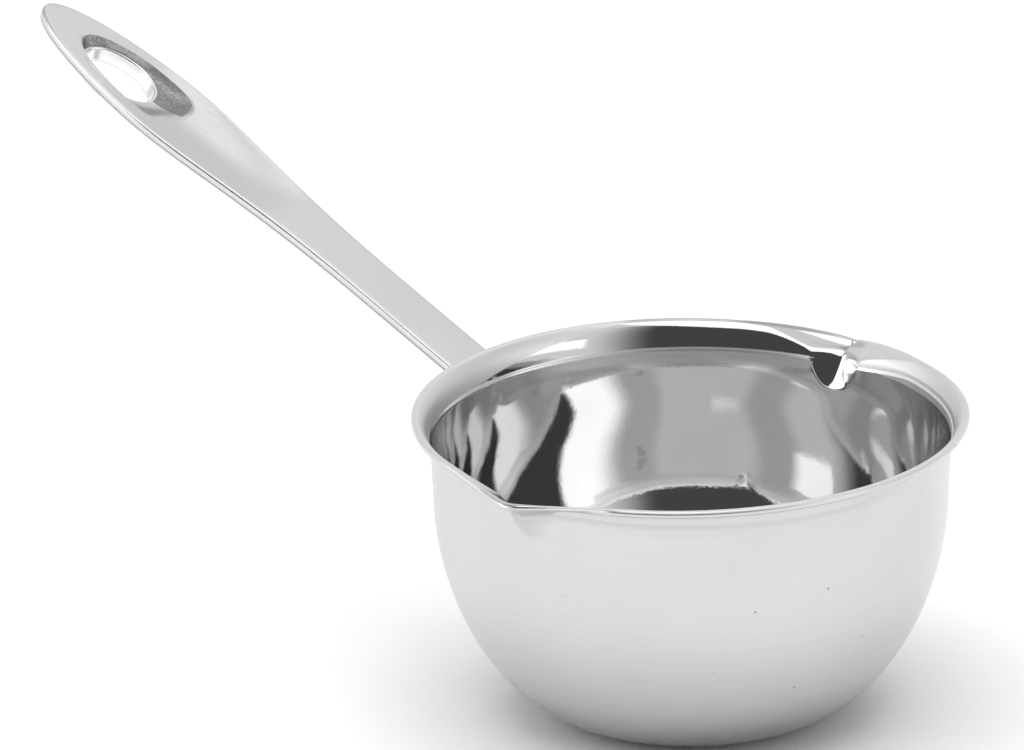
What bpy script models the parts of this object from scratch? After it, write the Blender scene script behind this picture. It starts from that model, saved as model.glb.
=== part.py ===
"""Candle melting pot: a deep-drawn steel bowl with two pour spouts and a spot-welded stamped handle.

Frame: +Z up, origin at the centre of the flat base, handle along -X, spouts near +Y and -Y.
"""

import math

import bmesh
import bpy
from mathutils import Matrix, Vector

MM = 0.001

# Bowl, in millimetres
LIP_RADIUS = 45.1  # outer edge of the rolled lip
HEIGHT = 49.95  # base to top of the lip, away from the spouts
BOWL_SHEET = 0.6
BASE_RADIUS = 18.8  # flat part of the base
FLANK_RADIUS = 41.65  # outer wall where the rounded flank ends
FLANK_HEIGHT = 35.6
FLANK_SPREAD = 1.1  # with both at 1.0, the flank would be a quarter of an ellipse
FLANK_LIFT = 1.12
WALL_RADIUS = 42.0  # outer wall under the brim
BEAD_RADIUS = 0.67  # rolled lip
BRIM_HEIGHT = 4.5  # fold of the brim to the top of the lip
BRIM_FLARE = 3.1  # how far the flare starts below the fold
FOLD_RADIUS = 42.45  # inner edge of the fold

# Pour spouts
SPOUT_AZIMUTHS = (97.0, -88.0)  # degrees from +X
LIP_BULGE = 2.6  # how far the lip is drawn out to a soft point
LIP_BULGE_HALF_ANGLE = 26.0
POINT_SOFTNESS = 1.6  # degrees of rounding at the point
CHANNEL_REACH = 2.6  # how far the narrow channel is pressed out at the fold
CHANNEL_HALF_WIDTH = 4.0
CHANNEL_BOTTOM = 9.2  # below the lip, where the channel fades into the wall
SPOUT_DIP = 1.15  # how far the lip drops at a spout's point
SPOUT_DIP_HALF_ANGLE = 24.0
LIP_SAG = 0.55  # a wide, shallow drop of the lip towards each spout
LIP_SAG_HALF_ANGLE = 70.0

# Handle
HANDLE_SHEET = 0.7
HANDLE_SLOPE = 24.7  # degrees above the horizontal
HANDLE_DROP = 2.2  # top face below the lip's top, at the lip's radius
FACE_LENGTH = 101.1  # flat top face, from the lip's radius to its tip
EDGE_RADIUS = 0.9  # bend from the top face into the side flange
FLANGE_DEPTH = 1.5
FLANGE_START = 1.2  # how far inside the lip the flanges begin to turn down
FLANGE_FADE = 2.6
NECK_HALF_WIDTH = 3.95  # flat top face, without the bends
LEAF_HALF_WIDTH = 7.5
NECK_END = 16.5  # along the top face, where the leaf starts to widen
LEAF_WIDEST = 72.6
LEAF_START = 60.0  # where the mesh round the hole begins
TAB_HALF_WIDTH = 5.6
TAB_BOTTOM_Z = 30.5
TAB_GAP = 0.35  # between the tab and the wall
BRIM_GAP = 0.5  # between the handle's root and the underside of the brim

# Hanging hole and its dished recess, along the top face
HOLE_CENTRE = 83.8
HOLE_HALF_LENGTH = 7.0
HOLE_HALF_WIDTH = 4.6
RECESS_WIDEST = 76.5
RECESS_TIP_REACH = 16.2  # from its widest place to its tapered end
RECESS_POT_REACH = 6.4  # to its blunt end
RECESS_HALF_WIDTH = 5.6
RECESS_DEPTH = 0.9
COLLAR_DEPTH = 3.4  # lower edge of the turned-down collar, below the top face
COLLAR_TAPER = 0.3
COLLAR_BEND = 0.4  # radius of the bend from the recess into the collar

# Welds that fill two holes in the tab and join it to the wall
WELD_RADIUS = 1.7
WELD_GAP = 0.3
WELD_PROUD = 0.2
WELD_HEIGHTS = {"upper_weld": 39.4, "lower_weld": 34.0}

FACE_CROSS_STEPS = 8  # faces across the handle's flat top
ARC_STEPS = 4


def smoothstep(x):
    x = min(max(x, 0.0), 1.0)
    return x * x * (3.0 - 2.0 * x)


def arc(centre, radius, start, end, steps):
    """Points on an arc, with its angles in degrees."""
    angles = [math.radians(start + (end - start) * i / steps) for i in range(steps + 1)]
    return [(centre[0] + radius * math.cos(a), centre[1] + radius * math.sin(a)) for a in angles]


def flank(offset, steps):
    """The rounded flank, from the flat base to the wall, moved inward by the sheet's thickness."""
    points = []
    for i in range(steps + 1):
        t = 0.5 * math.pi * i / steps
        across = FLANK_RADIUS - BASE_RADIUS - offset
        rise = FLANK_HEIGHT - offset
        out = BASE_RADIUS + across * math.sin(t) ** FLANK_SPREAD
        points.append((out, offset + rise * (1.0 - abs(math.cos(t)) ** FLANK_LIFT)))
    return points


def bowl_profile():
    """Radius and height round the sheet's section: up the outside, round the lip, down the inside."""
    fold_z = HEIGHT - BRIM_HEIGHT
    flare_z = fold_z - BRIM_FLARE
    bead = (LIP_RADIUS - BEAD_RADIUS, HEIGHT - BEAD_RADIUS)
    slope = math.degrees(math.atan2(bead[1] - fold_z, bead[0] - FOLD_RADIUS))
    outer = [(BASE_RADIUS * 0.5, 0.0)] + flank(0.0, 9)
    outer += [
        (WALL_RADIUS, flare_z),
        (WALL_RADIUS + 0.3, flare_z + 1.6),
        (FOLD_RADIUS + BOWL_SHEET, fold_z - 0.2),
        (bead[0] - 0.1, bead[1] - BEAD_RADIUS * 1.1),
    ]
    lip = arc(bead, BEAD_RADIUS, -70.0, 90.0 + slope, 6)
    inside = BOWL_SHEET
    inner = [
        (FOLD_RADIUS, fold_z),
        (WALL_RADIUS + 0.3 - inside, flare_z + 1.6),
        (WALL_RADIUS - inside, flare_z),
    ]
    inner += list(reversed(flank(inside, 9))) + [(BASE_RADIUS * 0.5, inside)]
    return outer + lip + inner


def turn_from(azimuth, other):
    """Signed angle between two azimuths, in degrees."""
    return (azimuth - other + 180.0) % 360.0 - 180.0


def with_spouts(radius, azimuth, height):
    """A point of the plain bowl, moved to where the nearest spout's pressing puts it."""
    turn = min((turn_from(azimuth, spout) for spout in SPOUT_AZIMUTHS), key=abs)
    below = HEIGHT - height
    soft_turn = math.hypot(turn, POINT_SOFTNESS) - POINT_SOFTNESS
    bulge = max(0.0, 1.0 - soft_turn / LIP_BULGE_HALF_ANGLE) ** 1.25
    bulge *= LIP_BULGE * smoothstep(1.0 - below / (BRIM_HEIGHT + 3.0))
    across = math.radians(turn) * WALL_RADIUS / CHANNEL_HALF_WIDTH
    channel = max(0.0, 1.0 - across * across) ** 2
    if below < BRIM_HEIGHT:
        channel *= 1.0 + (CHANNEL_REACH - 1.0) * below / BRIM_HEIGHT
    else:
        left = (CHANNEL_BOTTOM - below) / (CHANNEL_BOTTOM - BRIM_HEIGHT)
        channel *= CHANNEL_REACH * max(0.0, left) ** 1.2
    dip = SPOUT_DIP * max(0.0, 1.0 - soft_turn / SPOUT_DIP_HALF_ANGLE) ** 2
    dip += LIP_SAG * smoothstep(1.0 - abs(turn) / LIP_SAG_HALF_ANGLE)
    dip *= smoothstep(1.0 - below / BRIM_HEIGHT)
    return radius + bulge + channel, height - dip


def bowl_azimuths():
    """Azimuths of the bowl's columns, closer together at the spouts."""
    near = [i * 2.0 for i in range(-12, 13)]
    found = []
    spouts = sorted(azimuth % 360.0 for azimuth in SPOUT_AZIMUTHS)
    for spout, following in zip(spouts, [spouts[1], spouts[0] + 360.0]):
        found += [spout + step for step in near]
        start, end = spout + near[-1], following + near[0]
        count = round((end - start) / 6.5)
        found += [start + (end - start) * i / count for i in range(1, count)]
    return found


def make_object(name, mesh_data, material):
    obj = bpy.data.objects.new(name, mesh_data)
    bpy.context.scene.collection.objects.link(obj)
    mesh_data.materials.append(material)
    mesh_data.shade_smooth()
    mesh_data.set_sharp_from_angle(angle=math.radians(30.0))
    return obj


def make_bowl(material):
    """The bowl: the sheet's section turned about Z, with the spouts pressed into its brim."""
    profile = bowl_profile()
    columns = bowl_azimuths()
    mesh = bmesh.new()
    grid = []
    for radius, height in profile:
        ring = []
        for azimuth in columns:
            r, z = with_spouts(radius, azimuth, height)
            a = math.radians(azimuth)
            ring.append(mesh.verts.new((r * math.cos(a) * MM, r * math.sin(a) * MM, z * MM)))
        grid.append(ring)
    for lower, upper in zip(grid, grid[1:]):
        for i in range(len(columns)):
            j = (i + 1) % len(columns)
            mesh.faces.new((lower[i], lower[j], upper[j], upper[i]))
    under = mesh.verts.new((0.0, 0.0, 0.0))
    floor = mesh.verts.new((0.0, 0.0, BOWL_SHEET * MM))
    for i in range(len(columns)):
        j = (i + 1) % len(columns)
        mesh.faces.new((under, grid[0][j], grid[0][i]))
        mesh.faces.new((floor, grid[-1][i], grid[-1][j]))
    data = bpy.data.meshes.new("bowl")
    mesh.to_mesh(data)
    mesh.free()
    return make_object("bowl", data, material)


def rounded_path(corners, radii):
    """A path through corners, each rounded by its radius, as a list of points."""
    points = [Vector(corners[0])]
    for before, corner, after, radius in zip(corners, corners[1:], corners[2:], radii):
        corner = Vector(corner)
        back = (Vector(before) - corner).normalized()
        ahead = (Vector(after) - corner).normalized()
        half = 0.5 * math.acos(max(-1.0, min(1.0, back.dot(ahead))))
        run = radius / math.tan(half)
        centre = corner + (back + ahead).normalized() * (radius / math.sin(half))
        start, end = corner + back * run - centre, corner + ahead * run - centre
        for i in range(ARC_STEPS + 1):
            points.append(centre + start.slerp(end, i / ARC_STEPS).normalized() * radius)
    points.append(Vector(corners[-1]))
    return points


def handle_root():
    """Side view of the top face's root, from the tab's bottom to the lip: (distance from Z, height)."""
    fold_z = HEIGHT - BRIM_HEIGHT
    brim_low = Vector((FOLD_RADIUS + BOWL_SHEET, fold_z))
    brim_high = Vector((LIP_RADIUS - BEAD_RADIUS + 0.2, HEIGHT - BEAD_RADIUS * 2.0))
    along = (brim_high - brim_low).normalized()
    outward = Vector((along.y, -along.x))
    start = brim_low + outward * BRIM_GAP
    tab_radius = WALL_RADIUS + TAB_GAP
    low = start + along * ((tab_radius - start.x) / along.x)
    slope = math.tan(math.radians(HANDLE_SLOPE))
    face_z = HEIGHT - HANDLE_DROP
    gap = face_z + (start.x - LIP_RADIUS) * slope - start.y
    high = start + along * (gap / (along.y - slope * along.x))
    end = Vector((LIP_RADIUS + 1.5, face_z + 1.5 * slope))
    return rounded_path([(tab_radius, TAB_BOTTOM_Z), low, high, end], (3.5, 2.0))


def face_half_width(along):
    """Half width of the flat top face at a distance along it."""
    if along > LEAF_WIDEST:
        x = min((along - LEAF_WIDEST) / (FACE_LENGTH - LEAF_WIDEST), 1.0)
        return LEAF_HALF_WIDTH * math.sqrt(1.0 - x**1.65)
    x = max((along - NECK_END) / (LEAF_WIDEST - NECK_END), 0.0)
    return NECK_HALF_WIDTH + (LEAF_HALF_WIDTH - NECK_HALF_WIDTH) * smoothstep(x**1.6)


def face_point(along, across, drop=0.0):
    """A point of the handle from its distance along and across the top face, and below it."""
    slope = math.radians(HANDLE_SLOPE)
    out = LIP_RADIUS + along * math.cos(slope) + drop * math.sin(slope)
    up = HEIGHT - HANDLE_DROP + along * math.sin(slope) - drop * math.cos(slope)
    return Vector((-out, across, up)) * MM


def edge_steps(turned):
    """Outward and downward steps round the bend and down the flange, from the flat face's border."""
    steps = []
    for i in range(1, ARC_STEPS + 1):
        a = turned * 0.5 * math.pi * i / ARC_STEPS
        bent = (EDGE_RADIUS * math.sin(a), EDGE_RADIUS * (1.0 - math.cos(a)))
        flat = (EDGE_RADIUS * i / ARC_STEPS, 0.0)
        steps.append(tuple(turned * b + (1.0 - turned) * f for b, f in zip(bent, flat)))
    out, drop = steps[-1]
    steps.append((out + (1.0 - turned) * 0.2, max(drop + 0.02, turned * FLANGE_DEPTH)))
    return steps


def strap_section(centre, normal, half_width, turned, wall_curve):
    """Points across the handle at one station, from one flange's edge to the other's."""
    count = FACE_CROSS_STEPS
    face = [(half_width * (2.0 * i / count - 1.0), 0.0) for i in range(count + 1)]
    steps = edge_steps(turned)
    left = [(-half_width - out, drop) for out, drop in reversed(steps)]
    right = [(half_width + out, drop) for out, drop in steps]
    points = []
    for across, drop in left + face + right:
        out, up = centre - normal * drop
        out -= wall_curve * (out - math.sqrt(out * out - across * across))
        points.append(Vector((-out, across, up)) * MM)
    return points


def root_sections():
    """Sections of the tab, which follows the wall's curve, and of the bends up to the lip."""
    root = handle_root()
    sections = []
    lengths = [(b - a).length for a, b in zip(root, root[1:])]
    for i, point in enumerate(root[:-1]):
        ahead = root[i + 1] - root[max(i - 1, 0)]
        normal = Vector((-ahead.y, ahead.x)).normalized()
        share = sum(lengths[:i]) / sum(lengths)
        narrowing = smoothstep((share - 0.45) / 0.45)
        half = TAB_HALF_WIDTH + (NECK_HALF_WIDTH - TAB_HALF_WIDTH) * narrowing
        if i == 0:
            for lift, narrower in ((0.0, 1.6), (0.5, 0.6), (1.4, 0.0)):
                low = point + Vector((0.0, lift))
                sections.append(strap_section(low, normal, half - narrower, 0.0, 1.0))
        else:
            turned = smoothstep((point.x - LIP_RADIUS + FLANGE_START) / FLANGE_FADE)
            curve = smoothstep((0.9 - share) / 0.3)
            sections.append(strap_section(point, normal, half, turned, curve))
    return sections


def strap_sections():
    """Sections of the root and of the straight handle, up to the leaf."""
    sections = root_sections()
    slope = math.radians(HANDLE_SLOPE)
    normal = Vector((-math.sin(slope), math.cos(slope)))
    stations = [1.5, 4.0, 8.0, NECK_END]
    stations += [NECK_END + (LEAF_START - NECK_END) * i / 6 for i in range(1, 7)]
    for along in stations:
        out = LIP_RADIUS + along * math.cos(slope)
        centre = Vector((out, HEIGHT - HANDLE_DROP + along * math.sin(slope)))
        sections.append(strap_section(centre, normal, face_half_width(along), 1.0, 0.0))
    return sections


def leaf_border():
    """The flat face's border round the leaf, from one side of its start, round the tip, to the other."""
    border = []
    count = 16
    for i in range(1, count + 1):
        x = math.sin(0.5 * math.pi * i / count)
        along = LEAF_START + (FACE_LENGTH - LEAF_START) * x
        border.append((along, face_half_width(along) if i < count else 0.0))
    mirrored = [(along, -across) for along, across in reversed(border[:-1])]
    return border + mirrored


def border_normals(border, first, last):
    """Outward normals of the leaf's border, from its neighbours."""
    chain = [first] + border + [last]
    normals = []
    for before, after in zip(chain, chain[2:]):
        ahead = Vector(after) - Vector(before)
        normals.append(Vector((-ahead.y, ahead.x)).normalized())
    return normals


def recess_half_width(along):
    """Half width of the recess: an ellipse towards the tip, blunt towards the pot."""
    beyond = along - RECESS_WIDEST
    if beyond > 0.0:
        return RECESS_HALF_WIDTH * math.sqrt(max(0.0, 1.0 - (beyond / RECESS_TIP_REACH) ** 2))
    return RECESS_HALF_WIDTH * max(0.0, 1.0 - (-beyond / RECESS_POT_REACH) ** 4) ** 0.4


def recess_reach(direction):
    """Distance from the hole's centre to the recess's outline, by halving the interval."""
    near, far = 0.0, RECESS_TIP_REACH + RECESS_POT_REACH
    for _ in range(30):
        middle = 0.5 * (near + far)
        along = HOLE_CENTRE + direction.x * middle
        if abs(direction.y) * middle < recess_half_width(along):
            near = middle
        else:
            far = middle
    return near


def hole_reach(direction):
    return 1.0 / math.hypot(direction.x / HOLE_HALF_LENGTH, direction.y / HOLE_HALF_WIDTH)


def leaf_rows(border):
    """Loops of (along, across, drop) from the leaf's border in to the collar's lower edge."""
    middle = Vector((HOLE_CENTRE, 0.0))
    directions = [(Vector(point) - middle).normalized() for point in border]
    rows = [[(x, y, 0.0) for x, y in border]]
    for share, depth in ((1.0, 0.0), (0.66, 0.38), (0.33, 0.72), (0.12, 0.86)):
        row = []
        for direction in directions:
            rim = hole_reach(direction) + COLLAR_BEND
            x, y = middle + direction * (rim + (recess_reach(direction) - rim) * share)
            row.append((x, y, depth * RECESS_DEPTH))
        rows.append(row)
    collar = [
        (0.35 * COLLAR_BEND, RECESS_DEPTH + 0.1 * COLLAR_BEND),
        (0.0, RECESS_DEPTH + COLLAR_BEND),
        (-COLLAR_TAPER, COLLAR_DEPTH),
    ]
    for inset, drop in collar:
        points = [middle + direction * (hole_reach(direction) + inset) for direction in directions]
        rows.append([(x, y, drop) for x, y in points])
    return rows


def add_strip(mesh, one, two):
    """Faces between two rows of the same number of vertices."""
    for i in range(len(one) - 1):
        mesh.faces.new((one[i], two[i], two[i + 1], one[i + 1]))


def add_leaf(mesh, end):
    """The leaf round the hole, joined to the strap's last section."""
    edge = ARC_STEPS + 1
    count = FACE_CROSS_STEPS
    half = face_half_width(LEAF_START)
    border = leaf_border()
    normals = border_normals(border, (LEAF_START, half), (LEAF_START, -half))
    rim = []
    for (x, y), normal in zip(border, normals):
        column = [mesh.verts.new(face_point(x, y))]
        for out, drop in edge_steps(1.0):
            column.append(mesh.verts.new(face_point(x + normal.x * out, y + normal.y * out, drop)))
        rim.append(column)
    first = end[edge + count :]
    last = list(reversed(end[: edge + 1]))
    for one, two in zip([first] + rim, rim + [last]):
        add_strip(mesh, one, two)

    start = [(LEAF_START, half * (2.0 * i / count - 1.0)) for i in range(count + 1)]
    ring = end[edge : edge + count + 1] + [column[0] for column in rim]
    for row in leaf_rows(start + border)[1:]:
        inner = [mesh.verts.new(face_point(*point)) for point in row]
        add_strip(mesh, ring + ring[:1], inner + inner[:1])
        ring = inner


def x_disc(radius, inner, outer, height, bevel=0.0):
    """A disc across the X axis at a height, between two distances from Z on the handle's side."""
    mesh = bmesh.new()
    place = Matrix.Translation(Vector((-0.5 * (inner + outer), 0.0, height)) * MM)
    place @= Matrix.Rotation(math.radians(-90.0), 4, "Y")
    bmesh.ops.create_cone(
        mesh,
        cap_ends=True,
        segments=32,
        radius1=radius * MM,
        radius2=radius * MM,
        depth=(outer - inner) * MM,
        matrix=place,
    )
    if bevel:
        edges = [edge for edge in mesh.edges if all(v.co.x < -(outer - 0.01) * MM for v in edge.verts)]
        bmesh.ops.bevel(mesh, geom=edges, offset=bevel * MM, segments=2, affect="EDGES")
    data = bpy.data.meshes.new("disc")
    mesh.to_mesh(data)
    mesh.free()
    return data


def cut_weld_hole(handle, height):
    """A round hole through the tab, for the weld at a height."""
    hole = x_disc(WELD_RADIUS + WELD_GAP, WALL_RADIUS - 1.0, WALL_RADIUS + 3.0, height)
    cutter = bpy.data.objects.new("weld_hole_cutter", hole)
    bpy.context.scene.collection.objects.link(cutter)
    cutter.hide_render = True
    cutter.display_type = "WIRE"
    cut = handle.modifiers.new("weld_hole", "BOOLEAN")
    cut.operation = "DIFFERENCE"
    cut.object = cutter


def make_handle(material):
    """The handle: one sheet surface, thickened downward, with holes in its tab for the welds."""
    mesh = bmesh.new()
    sections = [[mesh.verts.new(point) for point in section] for section in strap_sections()]
    for lower, upper in zip(sections, sections[1:]):
        add_strip(mesh, lower, upper)
    add_leaf(mesh, sections[-1])
    bmesh.ops.recalc_face_normals(mesh, faces=mesh.faces)
    highest = max(mesh.faces, key=lambda face: abs(face.normal.z) * face.calc_area())
    if highest.normal.z < 0.0:
        bmesh.ops.reverse_faces(mesh, faces=mesh.faces)
    data = bpy.data.meshes.new("handle")
    mesh.to_mesh(data)
    mesh.free()
    handle = make_object("handle", data, material)
    sheet = handle.modifiers.new("sheet", "SOLIDIFY")
    sheet.thickness = HANDLE_SHEET * MM
    sheet.offset = -1.0
    sheet.use_even_offset = True
    for height in WELD_HEIGHTS.values():
        cut_weld_hole(handle, height)
    return handle


def make_weld(name, height, material):
    """A weld that fills a hole in the tab and stands a little proud of it."""
    inner = WALL_RADIUS + WELD_GAP
    outer = WALL_RADIUS + TAB_GAP + HANDLE_SHEET + WELD_PROUD
    return make_object(name, x_disc(WELD_RADIUS, inner, outer, height, bevel=WELD_PROUD), material)


def steel(name, shade, roughness):
    material = bpy.data.materials.new(name)
    material.use_nodes = True
    shader = material.node_tree.nodes["Principled BSDF"]
    shader.inputs["Base Color"].default_value = (shade, shade, shade, 1.0)
    shader.inputs["Metallic"].default_value = 1.0
    shader.inputs["Roughness"].default_value = roughness
    return material


def main():
    for obj in list(bpy.data.objects):
        bpy.data.objects.remove(obj, do_unlink=True)
    make_bowl(steel("bowl_steel", 0.75, 0.22))
    make_handle(steel("handle_steel", 0.78, 0.3))
    weld_steel = steel("weld_steel", 0.6, 0.4)
    for name, height in WELD_HEIGHTS.items():
        make_weld(name, height, weld_steel)


main()
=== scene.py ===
"""Looks of the candle melting pot: fine meshes of its steel bowl, handle and welds, and a pale studio.

Shapes are worked out in millimetres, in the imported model's frame: +Z up, origin at the centre of the
base, handle along -X, spouts near +Y and -Y. They become metres where a vertex is made.
"""

import math

import bmesh
import bpy
from mathutils import Matrix, Vector


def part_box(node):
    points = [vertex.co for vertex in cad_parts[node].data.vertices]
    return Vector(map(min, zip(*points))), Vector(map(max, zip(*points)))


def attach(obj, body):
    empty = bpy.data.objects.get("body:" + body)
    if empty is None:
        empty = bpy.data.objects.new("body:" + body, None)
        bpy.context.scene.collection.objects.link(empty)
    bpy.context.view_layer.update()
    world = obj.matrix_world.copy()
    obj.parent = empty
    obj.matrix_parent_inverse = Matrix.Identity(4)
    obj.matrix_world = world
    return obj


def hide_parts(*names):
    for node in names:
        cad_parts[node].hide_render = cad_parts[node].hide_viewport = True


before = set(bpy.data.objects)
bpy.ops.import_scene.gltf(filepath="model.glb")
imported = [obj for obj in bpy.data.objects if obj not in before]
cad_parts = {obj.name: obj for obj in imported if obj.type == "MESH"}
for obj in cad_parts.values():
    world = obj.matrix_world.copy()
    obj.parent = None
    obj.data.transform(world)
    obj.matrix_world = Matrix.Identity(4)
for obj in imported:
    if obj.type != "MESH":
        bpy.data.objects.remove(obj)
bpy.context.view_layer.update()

MM = 0.001
BOWL_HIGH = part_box("bowl")[1] / MM
HANDLE_LOW, HANDLE_HIGH = (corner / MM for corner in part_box("handle"))
WELDS = ("upper_weld", "lower_weld")

# Bowl: a sheet turned about Z
LIP_RADIUS = BOWL_HIGH.x
HEIGHT = BOWL_HIGH.z
BOWL_SHEET = 0.4
BASE_RADIUS = 18.8  # flat part of the base
FLANK_RADIUS = 41.65  # outside of the wall where the rounded flank ends
FLANK_HEIGHT = 35.6
FLANK_SPREAD = 1.1  # powers of the flank's curve: with both at 1, it would be a quarter of an ellipse
FLANK_LIFT = 1.12
FLANK_SPREAD_INSIDE = 1.25
WALL_RADIUS = 42.0  # outside of the wall under the brim
WALL_CURVE = 2.0  # power of the inside's lean between flank and brim
EASED_REACH = 2.2  # the inside's bend from flank to wall is softened over this height
EASED_STEPS = 6
FLARE_HEIGHT = 0.8  # the short curve under the fold that turns the wall out
FLARE_LEAN = 36.0  # degrees from the vertical, where it meets the fold
BEAD_RADIUS = 0.67  # rolled lip
BEAD_CREASE = 0.93  # how far below the bead's centre the outside meets it, in its radii
BEAD_START = -112.0  # angle round the bead where the outside ends
FOLD_RADIUS = 42.1  # inside edge where the wall turns into the brim
FOLD_HALF_GAP = 0.04  # between the fold and the nearest points of the brim and of the wall
BRIM_HEIGHT = 4.5  # fold to the top of the lip
FOLD_Z = HEIGHT - BRIM_HEIGHT
BRIM_LEAN = 46.0  # degrees from the vertical, where it meets the bead
BRIM_POWER = 3.0  # how late the brim flares out
BRIM_SHEET = 0.5
OUTER_FOLD_DROP = 1.6  # how far below the fold the outside starts to turn out

# How finely the bowl's sheet is divided
FLANK_STEPS = 56
INSIDE_STEPS = (26, 14, 28)  # down the brim, the flare and the wall
OUTSIDE_STEPS = (12, 28)  # up the wall and the brim
FLOOR_STEPS = 6
FLOOR_INNER_SHARE = 0.25  # radius of the floor's middle fan, as a share of the base's
LIP_STEPS = 22
POLISHED_LIP_STEP = 12  # where, round the bead, the inside's polish begins
SPOUT_TURNS = (0.28, 29)  # degrees between the columns at a spout, and their number on each side
OUTER_TURNS = (0.75, 25)  # the same further from it
OPEN_TURN = 1.25  # and between the two spouts

# Pour spouts
SPOUT_AZIMUTHS = (95.3, -88.0)
SPOUT_DIPS = (1.9, 0.6)  # how far the lip drops at each spout's point
SPOUT_DIP_HALF_ANGLE = 24.0
SPOUT_FOOT_Z = FOLD_Z - 4.2
SPOUT_SLOPE = 0.685  # its deepest line is straight: outward for each millimetre up
SPOUT_HALF_ANGLES = (5.6, 24.0)  # at the fold and at the lip
SPOUT_FOOT_SHARE = 0.3  # half angle at the foot, as a share of the fold's
SPOUT_WIDENING = 3.0  # narrow up to near the lip
SPOUT_POWERS = (1.1, 1.7)  # flanks straight at the fold, and hollow at the lip
POINT_SOFTNESSES = (0.9, 2.0)  # degrees of rounding of the deepest line, at the fold and at the lip
FOOT_SOFTNESS = 0.12
LIP_SAG = 0.55  # a wide, shallow drop of the lip towards each spout
LIP_SAG_HALF_ANGLE = 70.0

# The fold runs higher, and turns more sharply, on the side away from the handle
RAISED_FROM = (92.0, 70.0)  # azimuths where the rise begins and where it is full
RAISED_TO = (20.0, -20.0)  # and where it starts to fade and is gone
FOLD_RISE = 1.4
FOLD_OUTWARD = 0.3
FLARE_TIGHTENED = 0.45  # how much shorter the flare gets
RISE_REACH_UP = 3.1  # height over which the rise fades above the fold, and below the flare
RISE_REACH_DOWN = 4.8

# Handle: a stamped sheet, measured along and across its flat top face
HANDLE_SHEET = 0.7
HANDLE_SLOPE = math.radians(24.7)
FACE_Z = HEIGHT - 2.33  # the top face's height at the lip's radius
EDGE_RADIUS = 0.5  # bend from the top face into the side flange
TIP_GAP = 0.7  # keeps the sheet at the tip within the CAD handle
FACE_LENGTH = (-HANDLE_LOW.x - LIP_RADIUS) / math.cos(HANDLE_SLOPE) - EDGE_RADIUS - TIP_GAP
FLANGE_DEPTH = 1.5
FLANGE_START = 1.2  # how far inside the lip the flanges begin to turn down
FLANGE_FADE = 2.6
FLAT_MARGIN = 0.2  # how far the sheet goes on outward where no flange turns down yet
NECK_HALF_WIDTH = 4.35
NECK_END = 16.5  # along the top face, where the leaf starts to widen
LEAF_HALF_WIDTH = HANDLE_HIGH.y - EDGE_RADIUS
LEAF_WIDEST = 72.6
LEAF_START = 60.0  # where the mesh round the hole begins
LEAF_WIDENING = 1.6  # powers of the outline towards the pot and towards the tip
LEAF_TAPER = 1.65
TAB_HALF_WIDTH = 6.0
TAB_BOTTOM_Z = HANDLE_LOW.z
TAB_CORNER = 1.8
TAB_GAP = 0.35  # between the tab and the wall
BRIM_GAP = 0.5  # between the handle's root and the underside of the brim
ROOT_FOLD_RADIUS = 42.45  # the CAD bowl's fold, which the root is bent round
ROOT_BEND_RADII = (3.5, 2.0)
ROOT_END = 1.5  # the root's side view ends this far past the lip
ROOT_NARROWING = (0.45, 0.45)  # where along the root the tab narrows to the neck, and over how much
ROOT_FLATTENED = (0.9, 0.3)  # where the root stops following the wall's curve, and over how much
DISH_CENTRE = 63.0  # a shallow hollow that runs into the recess
DISH_HALF_LENGTH = 20.0
DISH_DEPTH = 1.0

# Hanging hole, in a recess, with a collar turned down round it
HOLE_CENTRE = 83.8
HOLE_HALF_LENGTH = 7.0
HOLE_HALF_WIDTH = 4.6
RECESS_WIDEST = 76.5
RECESS_TIP_REACH = 16.2  # from its widest place to its tapered end
RECESS_POT_REACH = 6.4  # to its blunt end
RECESS_HALF_WIDTH = 5.6
RECESS_DEPTH = 1.5
RECESS_STEEPNESS = 2.2  # of its side towards +Y
COLLAR_DEPTH = 3.9
COLLAR_TAPER = 0.45
COLLAR_BEND = 0.4

# How finely the handle's sheet is divided
CROSS_STEPS = 20
EDGE_STEPS = 9
CORNER_STEPS = 8
ROOT_BEND_STEPS = 10
FIRST_STATIONS = (1.5, 2.5, 4.0)  # along the top face
STRAP_START = 6.0
STRAP_STEPS = 36
LEAF_STEPS = 48
FLAT_ROWS = 9  # loops of faces round the hole: from the leaf's border to the recess
RECESS_ROWS = 14  # and from there to the hole's rim
COLLAR_STEPS = 6  # round the collar's bend, and down the collar

# Spot welds
WELD_EDGE = 0.15
WELD_DIMPLE = 0.12
WELD_RINGS = 11
WELD_SIDES = 72

# Finish. Azimuths are in degrees from +X, and the first two are measured at the fold
BUFFED_FROM = 89.0  # between these azimuths the brim is mirror polished
BUFFED_TO = 186.0
SPOUT_SLANT = 6.0  # how far each of the two borders has turned at the lip
BUFFED_SLANT = 45.0
BUFFED_SPOUT = 8.0  # half angle of the polish in the spout at -Y
BORDER_SOFTNESS = 2.0
SATIN_ROUGHNESS = 0.4
SATIN_BRIGHTER = 0.12
DULL_BELOW_FOLD = (-0.85, -0.2)  # where the dull strip is gone and where it is full, in brim heights
POLISHED_FRONT = (20.0, 88.5, 5.0)  # no dull strip from one azimuth to the other, and its soft edge
POLISHED_BEHIND = (168.0, 228.0, 30.0)  # the same beside the handle, with azimuths from 0 to 360
POLISHED_SPOUT = (6.0, 2.0)  # the same at a spout: half angle and soft edge
DARK_REFLECTION_MIDDLE = 82.0  # bearing, from the tip towards +Y, of the middle of the recess's side with a painted dark reflection
DARK_REFLECTION_HALF_ANGLE = 96.0

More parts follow.
